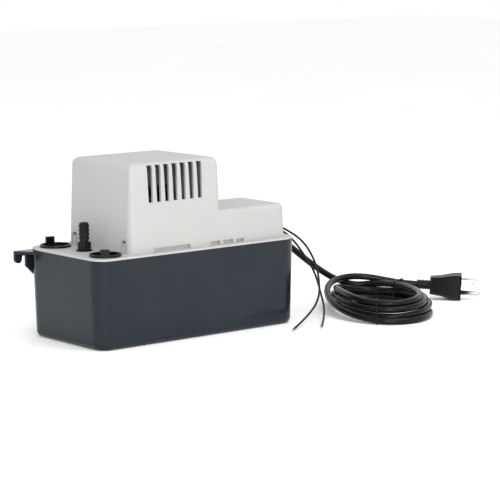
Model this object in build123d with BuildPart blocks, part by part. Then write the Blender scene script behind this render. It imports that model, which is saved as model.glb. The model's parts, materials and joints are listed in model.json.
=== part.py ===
"""Condensate pump: a drafted tank, a deck that closes it, and a stepped cover over motor and switches.

Millimetres. +X runs along the tank, away from the inlets, +Y to the wall side, +Z up.
The origin is under the middle of the body, on the surface that it stands on.
"""

import os
from math import asin, cos, degrees, pi, radians, sin, sqrt, tan

from build123d import *

# ---------------------------------------------------------------- tank
tank_length = 249.0  # along X, at the rim
tank_width = 127.0
tank_height = 88.0
tank_corner = 16.4
tank_draft = 1.63  # degrees
tank_wall = 3.0
tank_floor = 3.0
tank_base_round = 6.0

ear_reach = 15.2  # past the end of the rim
ear_plate = 3.0
ear_top_gap = 1.0  # below the rim
ear_prong = 8.2
ear_slot = 4.8
ear_prong_drop = 12.6
ear_slot_rise = 5.0
ear_web_drop = 16.3
ear_root_drop = 25.0
ear_root_inset = 16.0
ear_gusset_depth = 27.0

# ---------------------------------------------------------------- deck
deck_thickness = 2.0
deck_lip_drop = 6.0
deck_lip_wall = 2.0
deck_edge_round = 0.7
deck_rib_height = 4.2  # of the two ribs that locate the cover from inside
deck_rib_wall = 1.5
deck_rib_gap = 0.4
deck_rib_end = 14.0
lip_clearance = 0.3

inlet_from_end = 21.7  # from the end of the rim to the middle of an inlet
inlet_from_side = 20.2
inlet_hole_d = 28.6

plug_flange_d = 31.4
plug_fit = 0.08
plug_drop = 7.0
plug_floor = 2.0
plug_cup_d = 26.0
plug_rim_height = 2.3
plug_rim_wall = 1.5
plug_seat_gap = 0.2
plug_tab_width = 9.0
plug_tab_height = 6.0
plug_tab_thickness = 3.0
plug_chamfer = 0.8
plug_rim_round = 0.5
plug_tab_angles = {"front": -127.0, "rear": 79.0}

# ---------------------------------------------------------------- motor cover
cover_behind_inlets = 22.1  # from the middle of the inlets to the cover
cover_end_margin = 8.6  # of deck left bare past the cover's other end
cover_side_margin = 9.1
cover_step_past_shaft = 58.2
cover_high = 87.8  # above the deck
cover_low = 34.3
cover_low_back = 18.5  # where the low step ends, above a shelf over the cord's exit
cover_shelf = 26.0
cover_draft = 2.4
cover_wall = 2.5
cover_corner = 7.5
cover_top_round = 7.0
cover_low_round = 5.0
cover_inner_round = 4.5
cover_shelf_round = 3.0

vent_count = 7
vent_pitch = 10.1
vent_bottom = 48.6  # above the deck
vent_top = 85.0
vent_width_low = 4.8
vent_width_high = 6.5
vent_shift = 0.1  # of the row of vents from the shaft
vent_run_in = 9.0  # past the wall, where the slots run out in the rounded top

# start and end along X, and height, of the air gaps in the foot of the front wall
foot_gaps = [(-52.1, -7.8, 3.8), (17.1, 29.7, 3.6), (33.7, 46.4, 3.6), (50.5, 60.0, 3.2)]

snap_y = 42.4
snap_width = 5.2
snap_height = 10.4
snap_thickness = 2.0
snap_hook = 0.9
snap_gap = 0.2
snap_lead_in = 25.0  # degrees
snap_window_width = 8.4
snap_window_height = 13.0

# ---------------------------------------------------------------- discharge check valve
valve_past_inlets = 5.0
valve_flange_d = 16.5
valve_flange = 1.0
valve_hex = 12.8  # across flats
valve_hex_height = 8.2
valve_hex_chamfer = 0.6
valve_bore_d = 6.2
barb_crest_d = 11.0
barb_root_d = 8.8
barb_count = 4
barb_pitch = 3.95
barb_land = 0.8
barb_first = 11.8  # first crest above the deck
barb_tip_length = 3.6
spigot_drop = 10.0
spigot_d = 13.6
spigot_clearance = 0.2
ball_d = 8.4
ball_room = 5.0  # of the cage above the flange
ball_cage_fit = 0.35
ball_seat_gap = 0.15
seat_thickness = 3.0
gasket_thickness = 1.2
gasket_d = 19.0

# ---------------------------------------------------------------- pump
pump_x = -24.0
shaft_d = 6.0
shaft_top = 152.0
shaft_bottom = 14.5
bearing_fit = 0.04
column_d = 30.0
column_wall = 2.5
column_flange_d = 48.0
column_flange = 3.0
column_round = 1.0
drain_window_width = 6.0
drain_window_length = 14.0
drain_window_up = 12.0  # above the volute
volute_d = 62.0
volute_wall = 3.5
volute_bottom = 12.0
volute_height = 20.0
volute_top_wall = 3.0
volute_round = 3.0
impeller_d = 46.0
impeller_plate = 2.0
impeller_vane = 5.5
impeller_vane_wall = 1.8
impeller_vanes = 6
impeller_gap = 2.0
impeller_hub_d = 12.0
impeller_sweep = 55.0  # degrees that a vane lags at its tip
suction_plate = 3.0
suction_eye_d = 15.0
suction_foot = 4.5
suction_foot_d = 7.0
suction_foot_inset = 1.0
suction_feet = 4
suction_foot_taper = 6.0  # degrees
tube_d = 14.0
tube_bore_d = 10.0
nozzle_offset = 17.0
nozzle_length = 40.0
nozzle_inside = 10.0  # of the nozzle's start, inside the volute
shaft_hole_gap = 0.5
shaft_deck_gap = 3.0
tube_bend = 16.0

# ---------------------------------------------------------------- motor
motor_boss_height = 12.5
motor_boss_d = 11.0
motor_screw_spacing = 54.0
motor_screw_d = 4.0
motor_screw_head = 2.6
motor_screw_head_round = 0.9
motor_screw_slot = 1.0
motor_screw_slot_length = 5.0
motor_screw_slot_depth = 1.4
motor_screw_in_boss = 9.5
motor_screw_bottom_gap = 1.0
screw_fit = 0.15
bracket_plate = 2.5
bracket_width = 18.0
bracket_hub_d = 18.0
bracket_hub_height = 7.0
bracket_eye_wall = 4.0
bracket_gap = 4.0  # from bracket plate to the laminations
bearing_d = 12.0
bearing_chamfer = 0.4
shaft_chamfer = 0.5
stack_height = 20.0
stack_length = 64.0
stack_front = 20.0  # from the shaft to the coil window
stack_rear = 26.0
stack_window = 8.0
stack_leg = 14.0
stack_arm = 10.0
stack_corner = 2.0
rotor_d = 26.0
air_gap = 0.5
rotor_over = 1.0
rotor_ring = 3.0
rotor_end_gap = 0.5
rotor_ring_inset = 2.0
shading_slot = (8.0, 2.4)
shading_slot_past_rotor = 3.5
shading_slot_aside = 8.0
shading_slot_turn = 35.0
coil_length = 40.0
coil_build = 6.5
bobbin_wall = 1.2
bobbin_over = 1.6
bobbin_fit = 0.3
bobbin_side_trim = 1.0
bobbin_corner = 1.0
bobbin_flange_corner = 3.0
coil_side_trim = 2.0
coil_corner = 4.0
protector_length = 14.0
protector_width = 7.0
protector_height = 3.6
protector_corner = 1.2
protector_round = 0.8
protector_fan_gap = 0.5

fan_d = 62.0
fan_hub_d = 15.0
fan_disc = 1.6
fan_blade = 7.0
fan_blade_wall = 1.5
fan_blades = 9
fan_sweep = 34.0  # degrees that a blade lags at its tip
fan_gap = 0.6  # over the upper bearing

# ---------------------------------------------------------------- float and switches
pivot_x = 52.0
pivot_drop = 7.0  # below the deck's underside
pivot_pin_d = 4.0
pivot_fit = 0.06
pivot_ear = 3.0
pivot_ear_width = 12.0
pivot_hub_d = 10.0
lever_thickness = 6.0
lever_side_gap = 0.4
lever_nose = 8.0
lever_nose_d = 5.0
lever_arm_width = 7.0
float_length = 50.0
float_width = 76.0
float_height = 26.0
float_round = 5.0
float_from_pivot = 26.0
float_top_drop = 27.0
float_edge_round = 2.5
float_foot = 2.0
float_foot_length = 24.0
float_foot_width = 22.0
float_foot_corner = 3.0
pivot_pin_chamfer = 0.4
pivot_pin_over = 1.0

rod_d = 4.0
rod_fit = 0.08
rod_gap = 0.3
rod_top = 3.6  # above the deck
guide_d = 9.0
guide_height = 3.0
crosshead_width = 18.0
crosshead_length = 5.0
crosshead_height = 2.5
crosshead_corner = 2.0

switch_length = 28.0
switch_width = 10.3
switch_height = 16.0
switch_round = 0.8
switch_above_crosshead = 3.5
switch_plunger_from_end = 10.0
plunger_d = 3.0
plunger_gap = 0.3
plunger_fit = 0.06
plunger_inside = 2.6
plunger_room = 3.2
plunger_round = 0.7
terminal_width = 6.3
terminal_height = 4.8
terminal_thickness = 0.8
terminal_inset = 4.5
switch_bracket_wall = 3.0
switch_bracket_foot = 2.5
switch_bracket_foot_width = 26.0
switch_bracket_post = 14.0
switch_bracket_shift = 2.0  # of the post and its foot, clear of the rod's guide
switch_bracket_margin = 1.0
switch_bracket_foot_corner = 3.0
switch_screw_d = 2.9
switch_screw_fit = 0.06
switch_screw_from_end = 3.0
switch_screw_over = 2.2
switch_screw_head = 1.9
switch_nut = 1.8
switch_nut_reach = 2.75

# ---------------------------------------------------------------- cord exits
cord_d = 7.0
cord_exit_y = 21.5
cord_exit_up = 13.5  # above the deck
cord_exit_tilt = 25.0  # degrees below the horizontal
relief_neck_d = 13.0
relief_flange_d = 18.0
relief_flange = 2.2
relief_tail = 24.0
relief_root_d = 11.4
relief_tip_d = 8.6
relief_ribs = 5
relief_rib = 1.4
relief_rib_over = 0.7
relief_neck_in = 5.5
relief_flange_round = 0.8
exit_inset = 0.1  # of an exit's flange into the drafted wall
wire_d = 2.3
wire_ys = (-4.0, 2.0)
wire_up = 8.5
grommet_length = 15.0
grommet_height = 8.0
grommet_step = 1.5
grommet_flange = 2.3
grommet_neck_in = 4.5
grommet_round = 0.7
wire_tip_d = 1.2
wire_tip = 6.0

# ---------------------------------------------------------------- coiled cord and plug
coil_centre = (229.0, -67.5)
coil_half_long = 82.0
coil_half_short = 52.0
coil_angle = 65.0
coil_bundle_width = 9.0
coil_bundle_height = 28.0
coil_edge_round = 3.2
tie_angles = (50.0, 206.0)  # round the coil, from its far end
tie_gap = 0.3
tie_thickness = 1.0
tie_width = 2.4
tie_corner = 3.0

plug_start = (313.0, -41.0, 16.5)
plug_heading = -44.6
plug_tilt = 3.1
plug_relief_length = 14.0
plug_relief_d = 11.0
plug_relief_ribs = 5
plug_relief_rib = 1.5
plug_body_length = 34.0
plug_back_width = 15.0
plug_back_height = 18.5
plug_face_width = 24.0
plug_face_height = 27.4
plug_face_band = 9.0
plug_edge = 2.5
plug_band_step = 0.5
plug_rim = 2.0  # left round each sunk side panel
plug_panel_depth = 1.2
plug_relief_groove = 1.0
blade_spacing = 12.7
blade_width = 6.35
blade_thickness = 1.5
blade_length = 17.0
blade_hole_d = 3.0
blade_hole_from_tip = 4.0
blade_chamfer = 1.2
blade_rise = 5.5
ground_drop = 11.9
ground_d = 4.8
ground_length = 21.0
ground_tip_flat = 0.2

# ---------------------------------------------------------------- places and levels that follow
inlet_x = -(tank_length / 2 - inlet_from_end)
inlet_y = tank_width / 2 - inlet_from_side
cover_left = inlet_x + cover_behind_inlets
cover_right = tank_length / 2 - cover_end_margin
cover_width = tank_width - 2 * cover_side_margin
cover_step = pump_x + cover_step_past_shaft
valve_x = inlet_x + valve_past_inlets
deck_under = tank_height
deck_top = tank_height + deck_thickness
motor_base = deck_top + motor_boss_height
screw_foot = motor_base - motor_screw_in_boss
stack_bottom = motor_base + bracket_plate + bracket_gap
stack_top = stack_bottom + stack_height
upper_plate = stack_top + bracket_gap
pivot_z = deck_under - pivot_drop
rod_x = pivot_x + lever_nose
crosshead_z = deck_top + rod_top
switch_bottom = crosshead_z + crosshead_height + switch_above_crosshead
switch_left = rod_x - switch_plunger_from_end
volute_top = volute_bottom + volute_height
impeller_top = volute_top - volute_top_wall - impeller_gap
over = 1.0  # by which a cutting shape passes a face

os.makedirs("parts", exist_ok=True)


def keep(piece, name):
    piece.label = name
    export_step(piece, f"parts/{name}.step")


def upright(x, y, z=0.0):
    """The horizontal plane at height z with its origin on the vertical line through x, y."""
    return Plane(origin=(x, y, z))


def rod(diameter, low, high, x, y, mode=Mode.ADD):
    """A vertical cylinder between two levels, in the current part."""
    with BuildSketch(upright(x, y, low)) as disc:
        Circle(diameter / 2)
    extrude(disc.sketch, amount=high - low, mode=mode)


def swept_line(hub_d, rim_d, turn, sweep):
    """Three points of a vane about the shaft, from inside the hub to just inside the rim."""
    start, end = hub_d / 2 - over, rim_d / 2 - over
    stops = [(start, 0), (start + 0.5 * (end - start), 0.38 * sweep), (end, sweep)]
    return [
        (pump_x + r * cos(radians(turn + lag)), r * sin(radians(turn + lag))) for r, lag in stops
    ]


# ================================================================ tank
rim = Plane.XY.offset(tank_height)


def tank_block(inset, floor):
    """The drafted block of the tank, drawn in by the inset on its sides and raised by the floor."""
    with BuildPart() as block:
        with BuildSketch(rim):
            RectangleRounded(tank_length - 2 * inset, tank_width - 2 * inset, tank_corner - inset)
        extrude(amount=-(tank_height - floor), taper=tank_draft)
        fillet(block.edges().group_by(Axis.Z)[0], tank_base_round - inset / 2)
    return block.part


def ear(side):
    """A hanging ear in the plane of the back wall; side is -1 at the inlet end and +1 at the other."""
    top = tank_height - ear_top_gap
    tip = tank_length / 2 + ear_reach
    slot = tip - ear_prong - ear_slot / 2
    web = tip - ear_prong - ear_slot
    root = tank_length / 2 - ear_root_inset
    wall = tank_length / 2 - tank_wall
    back = tank_width / 2
    with BuildPart() as piece:
        with BuildSketch(Plane.XZ.offset(-back)):
            with BuildLine():
                Polyline(
                    (tip, top),
                    (tip, top - ear_prong_drop + ear_prong / 2),
                    (tip - ear_prong, top - ear_prong_drop + ear_prong / 2),
                    (web, top - ear_prong_drop),
                    (web, top - ear_web_drop),
                    (web - ear_root_drop + ear_web_drop, top - ear_root_drop),
                    (root, top - ear_root_drop),
                    (root, top),
                    close=True,
                )
            make_face()
            with Locations((tip - ear_prong / 2, top - ear_prong_drop + ear_prong / 2)):
                Circle(ear_prong / 2)
            slot_length = ear_prong_drop
            with Locations((slot, top - ear_slot_rise - slot_length / 2)):
                SlotOverall(slot_length, ear_slot, rotation=90, mode=Mode.SUBTRACT)
        extrude(amount=ear_plate)
        with BuildSketch(Plane.XY.offset(top)):
            with BuildLine():
                Polyline(
                    (tip, back), (tip, back - ear_plate), (wall, back - ear_gusset_depth),
                    (root, back - ear_gusset_depth), (root, back), close=True,
                )
            make_face()
        extrude(amount=-ear_plate)
    return piece.part if side > 0 else piece.part.mirror(Plane.YZ)


tank_outside = tank_block(0, 0)
tank_inside = tank_block(tank_wall, tank_floor)
ears = [ear(-1), ear(1)]

with BuildPart() as tank:
    add(tank_outside)
    add(ears)
    add(tank_inside, mode=Mode.SUBTRACT)
keep(tank.part, "tank")

# ================================================================ deck with its bosses
snap_sides = [(cover_left, -1), (cover_right, 1)]
motor_screws_x = [pump_x - motor_screw_spacing / 2, pump_x + motor_screw_spacing / 2]

with BuildPart() as tank_cover:
    with BuildSketch(Plane.XY.offset(deck_under)):
        RectangleRounded(tank_length, tank_width, tank_corner)
    extrude(amount=deck_thickness)
    fillet(tank_cover.edges().group_by(Axis.Z)[-1], deck_edge_round)
    # a lip that drops inside the tank's rim
    with BuildSketch(Plane.XY.offset(deck_under)):
        inset = 2 * (tank_wall + lip_clearance)
        RectangleRounded(tank_length - inset, tank_width - inset, tank_corner - inset / 2)
        thinner = inset + 2 * deck_lip_wall
        RectangleRounded(
            tank_length - thinner, tank_width - thinner, tank_corner - thinner / 2, mode=Mode.SUBTRACT
        )
    extrude(amount=-deck_lip_drop, taper=tank_draft)
    # bosses for the motor and the guide of the push rod
    for x in motor_screws_x:
        rod(motor_boss_d, deck_top, motor_base, x, 0)
    rod(guide_d, deck_top, deck_top + guide_height, rod_x, 0)
    # ribs that locate the motor cover's long walls from inside
    rib_y = cover_width / 2 - cover_wall - deck_rib_gap - deck_rib_wall / 2
    rib_length = cover_right - cover_left - 2 * deck_rib_end
    with BuildSketch(upright((cover_left + cover_right) / 2, 0, deck_top)):
        with Locations((0, -rib_y), (0, rib_y)):
            Rectangle(rib_length, deck_rib_wall)
    extrude(amount=deck_rib_height)
    # two hanging ears that carry the float's pivot pin
    ear_y = lever_thickness / 2 + lever_side_gap
    with BuildSketch(Plane.XZ.offset(-ear_y - pivot_ear), Plane.XZ.offset(ear_y)):
        with Locations((pivot_x, pivot_z)):
            Circle(pivot_ear_width / 2)
        with Locations((pivot_x, (pivot_z + deck_under) / 2)):
            Rectangle(pivot_ear_width, pivot_drop)
    extrude(amount=pivot_ear)
    # hooked posts that the motor cover snaps over
    for wall_x, side in snap_sides:
        for y in (-snap_y, snap_y):
            post_x = wall_x - side * (snap_thickness / 2 + snap_gap)
            with BuildSketch(upright(post_x, y, deck_top)):
                Rectangle(snap_thickness, snap_width)
            extrude(amount=snap_height)
            with BuildSketch(upright(post_x, y, deck_top + snap_height)):
                Rectangle(snap_thickness + 2 * snap_hook, snap_width)
            extrude(amount=-snap_hook * 2, taper=snap_lead_in)
    # openings through the deck
    for y in (-inlet_y, inlet_y):
        rod(inlet_hole_d, deck_under, deck_top, inlet_x, y, Mode.SUBTRACT)
    rod(spigot_d + 2 * spigot_clearance, deck_under, deck_top, valve_x, 0, Mode.SUBTRACT)
    rod(shaft_d + 2 * shaft_deck_gap, deck_under, deck_top, pump_x, 0, Mode.SUBTRACT)
    rod(rod_d + 2 * rod_fit, deck_under, deck_top + guide_height, rod_x, 0, Mode.SUBTRACT)
    for x in motor_screws_x:
        bottom = screw_foot - motor_screw_bottom_gap
        rod(motor_screw_d + 2 * screw_fit, bottom, motor_base, x, 0, Mode.SUBTRACT)
    with BuildSketch(Plane.XZ):
        with Locations((pivot_x, pivot_z)):
            Circle(pivot_pin_d / 2)
    extrude(amount=ear_y + pivot_ear, both=True, mode=Mode.SUBTRACT)
keep(tank_cover.part, "tank_cover")


# ================================================================ motor cover
def cover_step_block(left, right, back, height, inset, top_round):
    """One drafted step of the cover, from the front wall to its back, with rounded top edges."""
    front = -cover_width / 2
    with BuildPart() as block:
        with BuildSketch(upright((left + right) / 2, (front + back) / 2, deck_top)):
            RectangleRounded(right - left - 2 * inset, back - front - 2 * inset, cover_corner - inset)
        extrude(amount=height - inset, taper=cover_draft)
        fillet(block.edges().group_by(Axis.Z)[-1], top_round)
    return block.part


def cover_block(inset, high_round, low_round, shelf_round):
    """The stepped block of the motor cover, drawn in by the inset on all sides but below."""
    back = cover_width / 2
    return [
        cover_step_block(cover_left, cover_step, back, cover_high, inset, high_round),
        cover_step_block(cover_left, cover_right, cover_low_back, cover_low, inset, low_round),
        cover_step_block(cover_left, cover_right, back, cover_shelf, inset, shelf_round),
    ]


cover_outside = cover_block(0, cover_top_round, cover_low_round, cover_shelf_round)
cover_inside = cover_block(
    cover_wall, cover_inner_round, cover_low_round - cover_wall / 2, cover_shelf_round / 2
)
vent_centre = pump_x + vent_shift
front_wall = Plane.XZ.offset(cover_width / 2 + over)

with BuildPart() as motor_cover:
    add(cover_outside)
    add(cover_inside, mode=Mode.SUBTRACT)
    # vents: slots that widen upwards and run out in the rounded top edge
    with BuildSketch(front_wall):
        for i in range(vent_count):
            x = vent_centre + (i - (vent_count - 1) / 2) * vent_pitch
            low, high = deck_top + vent_bottom, deck_top + vent_top
            with BuildLine():
                Polyline(
                    (x - vent_width_low / 2, low), (x + vent_width_low / 2, low),
                    (x + vent_width_high / 2, high), (x - vent_width_high / 2, high), close=True,
                )
            make_face()
    extrude(amount=-cover_wall - vent_run_in, mode=Mode.SUBTRACT)
    # air gaps along the foot of the front wall
    with BuildSketch(front_wall):
        for start, end, height in foot_gaps:
            with Locations(((start + end) / 2, deck_top + height / 2)):
                Rectangle(end - start, height)
    extrude(amount=-cover_wall - 2 * over, mode=Mode.SUBTRACT)
    # arched windows for the deck's hooked posts
    with BuildSketch(Plane.YZ):
        for y in (-snap_y, snap_y):
            with Locations((y, deck_top)):
                arch = snap_window_height - snap_window_width / 2
                SlotCenterPoint((0, 0), (0, arch), snap_window_width)
    extrude(until=Until.LAST, both=True, mode=Mode.SUBTRACT)
    # round hole for the strain relief and a long one for the grommet
    with BuildSketch(Plane.YZ.offset(cover_right - 2 * cover_wall - over)):
        with Locations((cord_exit_y, deck_top + cord_exit_up)):
            Circle(relief_neck_d / 2)
        with Locations(((wire_ys[0] + wire_ys[1]) / 2, deck_top + wire_up)):
            SlotOverall(grommet_length - 2 * grommet_step, grommet_height - 2 * grommet_step)
    extrude(amount=2 * (2 * cover_wall + over), mode=Mode.SUBTRACT)
keep(motor_cover.part, "motor_cover")

# ================================================================ inlet plugs
for place, y in (("front", -inlet_y), ("rear", inlet_y)):
    flange_low = deck_top + plug_seat_gap
    flange_top = flange_low + plug_rim_height
    angle = radians(plug_tab_angles[place])
    reach = plug_flange_d / 2 - plug_tab_thickness / 2
    tab_plane = Plane(
        origin=(inlet_x + reach * cos(angle), y + reach * sin(angle), flange_low),
        x_dir=(-sin(angle), cos(angle), 0),
        z_dir=(0, 0, 1),
    )
    with BuildPart() as inlet_plug:
        rod(inlet_hole_d - 2 * plug_fit, deck_top - plug_drop, flange_low, inlet_x, y)
        chamfer(inlet_plug.edges().group_by(Axis.Z)[0], plug_chamfer)
        rod(plug_flange_d, flange_low, flange_top, inlet_x, y)
        fillet(inlet_plug.edges().group_by(Axis.Z)[-1], plug_rim_round)
        with BuildSketch(tab_plane):
            Rectangle(plug_tab_width, plug_tab_thickness)
        extrude(amount=plug_rim_height + plug_tab_height)
        cup_floor = deck_top - plug_drop + plug_floor
        rod(plug_cup_d, cup_floor, flange_top, inlet_x, y, Mode.SUBTRACT)
        with BuildSketch(upright(inlet_x, y, flange_top)):
            Circle(plug_flange_d / 2 - plug_rim_wall)
        extrude(amount=-plug_rim_height / 2, mode=Mode.SUBTRACT)
    keep(inlet_plug.part, f"inlet_plug_{place}")

# ================================================================ check valve on the discharge
valve_hex_top = deck_top + valve_flange + valve_hex_height
barb_top = deck_top + barb_first + (barb_count - 1) * barb_pitch + barb_land + barb_tip_length
cage_top = deck_top + valve_flange + ball_room
seat_top = deck_top - spigot_drop + seat_thickness
ball_rest = seat_top + sqrt((ball_d / 2) ** 2 - (valve_bore_d / 2) ** 2) + ball_seat_gap
cage_d = ball_d + 2 * ball_cage_fit

with BuildPart() as check_valve_body:
    rod(valve_flange_d, deck_top, deck_top + valve_flange, valve_x, 0)
    with BuildSketch(upright(valve_x, 0, deck_top + valve_flange)):
        RegularPolygon(valve_hex / 2, 6, major_radius=False)
    extrude(amount=valve_hex_height)
    chamfer(check_valve_body.edges().group_by(Axis.Z)[-1], valve_hex_chamfer)
    # the barb: saw teeth that open downwards, turned about the valve's axis
    with BuildSketch(Plane(origin=(valve_x, 0, 0), x_dir=(1, 0, 0), z_dir=(0, -1, 0))):
        with BuildLine():
            crest, root = barb_crest_d / 2, barb_root_d / 2
            outline = [(0, valve_hex_top), (root, valve_hex_top)]
            for i in range(barb_count):
                level = deck_top + barb_first + i * barb_pitch
                outline += [(root, level), (crest, level), (crest, level + barb_land)]
                outline += [(root, min(level + barb_pitch, barb_top))]
            outline += [(root, barb_top), (0, barb_top)]
            unique = [p for i, p in enumerate(outline) if i == 0 or p != outline[i - 1]]
            Polyline(*unique, close=True)
        make_face()
    revolve(axis=Axis((valve_x, 0, 0), (0, 0, 1)))
    rod(spigot_d, deck_top - spigot_drop, deck_top, valve_x, 0)
    rod(cage_d, seat_top, cage_top, valve_x, 0, Mode.SUBTRACT)
    rod(valve_bore_d, deck_top - spigot_drop, barb_top, valve_x, 0, Mode.SUBTRACT)
keep(check_valve_body.part, "check_valve_body")

with BuildPart() as check_ball:
    with Locations((valve_x, 0, ball_rest)):
        Sphere(ball_d / 2)
keep(check_ball.part, "check_ball")

with BuildPart() as valve_gasket:
    rod(gasket_d, deck_under - gasket_thickness, deck_under, valve_x, 0)
    hole_d = spigot_d + 2 * spigot_clearance
    rod(hole_d, deck_under - gasket_thickness, deck_under, valve_x, 0, Mode.SUBTRACT)
keep(valve_gasket.part, "valve_gasket")

# ================================================================ pump in the tank
# the outlet leaves along a tangent that passes under the check valve
outlet_turn = degrees(asin(nozzle_offset / (pump_x - valve_x)))
outlet_reach = sqrt((pump_x - valve_x) ** 2 - nozzle_offset**2)
pump_plane = Plane(
    origin=(pump_x, 0, 0),
    x_dir=(cos(radians(outlet_turn)), sin(radians(outlet_turn)), 0),
    z_dir=(0, 0, 1),
)
nozzle_z = volute_bottom + volute_height / 2
cavity_d = volute_d - 2 * volute_wall
nozzle_start = pump_plane.from_local_coords((-nozzle_inside, nozzle_offset, nozzle_z))
nozzle_end = pump_plane.from_local_coords((-nozzle_length, nozzle_offset, nozzle_z))
nozzle_dir = (nozzle_end - nozzle_start).normalized()
elbow = pump_plane.from_local_coords((-outlet_reach, nozzle_offset, nozzle_z))

with BuildPart() as volute:
    with BuildSketch(pump_plane.offset(volute_bottom)):
        Circle(volute_d / 2)
    extrude(amount=volute_height)
    fillet(volute.edges().group_by(Axis.Z)[-1], volute_round)
    with BuildSketch(Plane(origin=nozzle_start, z_dir=nozzle_dir)):
        Circle(tube_d / 2)
    extrude(amount=nozzle_length - nozzle_inside)
    with BuildSketch(pump_plane.offset(volute_bottom)):
        Circle(cavity_d / 2)
    extrude(amount=volute_height - volute_top_wall, mode=Mode.SUBTRACT)
    with BuildSketch(Plane(origin=nozzle_start, z_dir=nozzle_dir)):
        Circle(tube_bore_d / 2)
    extrude(amount=nozzle_length - nozzle_inside, mode=Mode.SUBTRACT)
    hole_d = shaft_d + 2 * shaft_hole_gap
    rod(hole_d, volute_bottom, volute_top, pump_x, 0, Mode.SUBTRACT)
keep(volute.part, "volute")

with BuildPart() as suction_cover:
    rod(volute_d, volute_bottom - suction_plate, volute_bottom, pump_x, 0)
    with BuildSketch(pump_plane.offset(volute_bottom - suction_plate)):
        foot_circle = (volute_d - suction_foot_d) / 2 - suction_foot_inset
        with PolarLocations(foot_circle, suction_feet, 180 / suction_feet):
            Circle(suction_foot_d / 2)
    extrude(amount=-suction_foot, taper=suction_foot_taper)
    rod(suction_eye_d, 0, volute_bottom, pump_x, 0, Mode.SUBTRACT)
keep(suction_cover.part, "suction_cover")

with BuildPart() as pump_column:
    rod(column_flange_d, deck_under - column_flange, deck_under, pump_x, 0)
    rod(column_d, volute_top, deck_under, pump_x, 0)
    flange_under = pump_column.edges().filter_by(GeomType.CIRCLE).group_by(Axis.Z)[1]
    fillet(flange_under.sort_by(SortBy.RADIUS)[0], column_round)
    rod(column_d - 2 * column_wall, volute_top, deck_under, pump_x, 0, Mode.SUBTRACT)
    # drain windows above the volute
    with BuildSketch(Plane.XZ):
        with Locations((pump_x, volute_top + drain_window_up)):
            SlotOverall(drain_window_length, drain_window_width, rotation=90)
    extrude(amount=column_d, both=True, mode=Mode.SUBTRACT)
keep(pump_column.part, "pump_column")

with BuildPart() as discharge_tube:
    with BuildLine():
        FilletPolyline(nozzle_end, elbow, (valve_x, 0, deck_top - spigot_drop), radius=tube_bend)
    with BuildSketch(Plane(origin=nozzle_end, z_dir=nozzle_dir)):
        Circle(tube_d / 2)
        Circle(tube_bore_d / 2, mode=Mode.SUBTRACT)
    sweep()
keep(discharge_tube.part, "discharge_tube")

with BuildPart() as impeller:
    rod(impeller_d, impeller_top - impeller_plate, impeller_top, pump_x, 0)
    vane_bottom = impeller_top - impeller_plate - impeller_vane
    rod(impeller_hub_d, vane_bottom, impeller_top, pump_x, 0)
    # vanes that sweep back from the hub to the rim
    with BuildSketch(Plane.XY.offset(vane_bottom)):
        for i in range(impeller_vanes):
            turn = i * 360 / impeller_vanes
            with BuildLine():
                ThreePointArc(*swept_line(impeller_hub_d, impeller_d, turn, impeller_sweep))
            trace(line_width=impeller_vane_wall)
    extrude(amount=impeller_vane)
    rod(shaft_d, vane_bottom, impeller_top, pump_x, 0, Mode.SUBTRACT)
keep(impeller.part, "impeller")

# ================================================================ motor
with BuildPart() as motor_shaft:
    rod(shaft_d, shaft_bottom, shaft_top, pump_x, 0)
    chamfer(motor_shaft.edges(), shaft_chamfer)
keep(motor_shaft.part, "motor_shaft")

with BuildPart() as rotor_core:
    rod(rotor_d, stack_bottom - rotor_over, stack_top + rotor_over, pump_x, 0)
    ring_end = rotor_over + rotor_ring / 2
    rod(rotor_d - 2 * rotor_ring_inset, stack_bottom - ring_end, stack_top + ring_end, pump_x, 0)
    rod(shaft_d, stack_bottom - ring_end, stack_top + ring_end, pump_x, 0, Mode.SUBTRACT)
keep(rotor_core.part, "rotor_core")

with BuildPart() as stator_laminations:
    front = -(stack_front + stack_window + stack_leg)
    with BuildSketch(upright(pump_x, 0, stack_bottom)):
        with Locations((0, (stack_rear + front) / 2)):
            RectangleRounded(stack_length, stack_rear - front, stack_corner)
        with Locations((0, -stack_front - stack_window / 2)):
            Rectangle(stack_length - 2 * stack_arm, stack_window, mode=Mode.SUBTRACT)
        Circle(rotor_d / 2 + air_gap, mode=Mode.SUBTRACT)
        # slots of the two shading rings, either side of the rotor
        for side in (-1, 1):
            slot_x = side * (rotor_d / 2 + shading_slot_past_rotor)
            with Locations((slot_x, side * shading_slot_aside)):
                SlotOverall(*shading_slot, rotation=shading_slot_turn * side, mode=Mode.SUBTRACT)
        with Locations((-motor_screw_spacing / 2, 0), (motor_screw_spacing / 2, 0)):
            Circle(motor_screw_d / 2 + screw_fit, mode=Mode.SUBTRACT)
    extrude(amount=stack_height)
keep(stator_laminations.part, "stator_laminations")

leg_y = -stack_front - stack_window - stack_leg / 2
leg_z = (stack_bottom + stack_top) / 2
leg_plane = Plane(origin=(pump_x, leg_y, leg_z), x_dir=(0, 1, 0), z_dir=(1, 0, 0))
bobbin_in_y = stack_leg + 2 * bobbin_fit
bobbin_in_z = stack_height + 2 * bobbin_fit

with BuildPart() as coil_bobbin:
    with BuildSketch(leg_plane.offset(-coil_length / 2)):
        RectangleRounded(bobbin_in_y + 2 * bobbin_wall, bobbin_in_z + 2 * bobbin_wall, bobbin_corner)
    extrude(amount=coil_length)
    for end in (-coil_length / 2, coil_length / 2 - bobbin_wall):
        with BuildSketch(leg_plane.offset(end)):
            RectangleRounded(
                bobbin_in_y + 2 * (coil_build + bobbin_wall - bobbin_side_trim),
                bobbin_in_z + 2 * (coil_build + bobbin_wall + bobbin_over),
                bobbin_flange_corner,
            )
        extrude(amount=bobbin_wall)
    with BuildSketch(leg_plane.offset(-coil_length / 2)):
        Rectangle(bobbin_in_y, bobbin_in_z)
    extrude(amount=coil_length, mode=Mode.SUBTRACT)
keep(coil_bobbin.part, "coil_bobbin")

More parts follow.
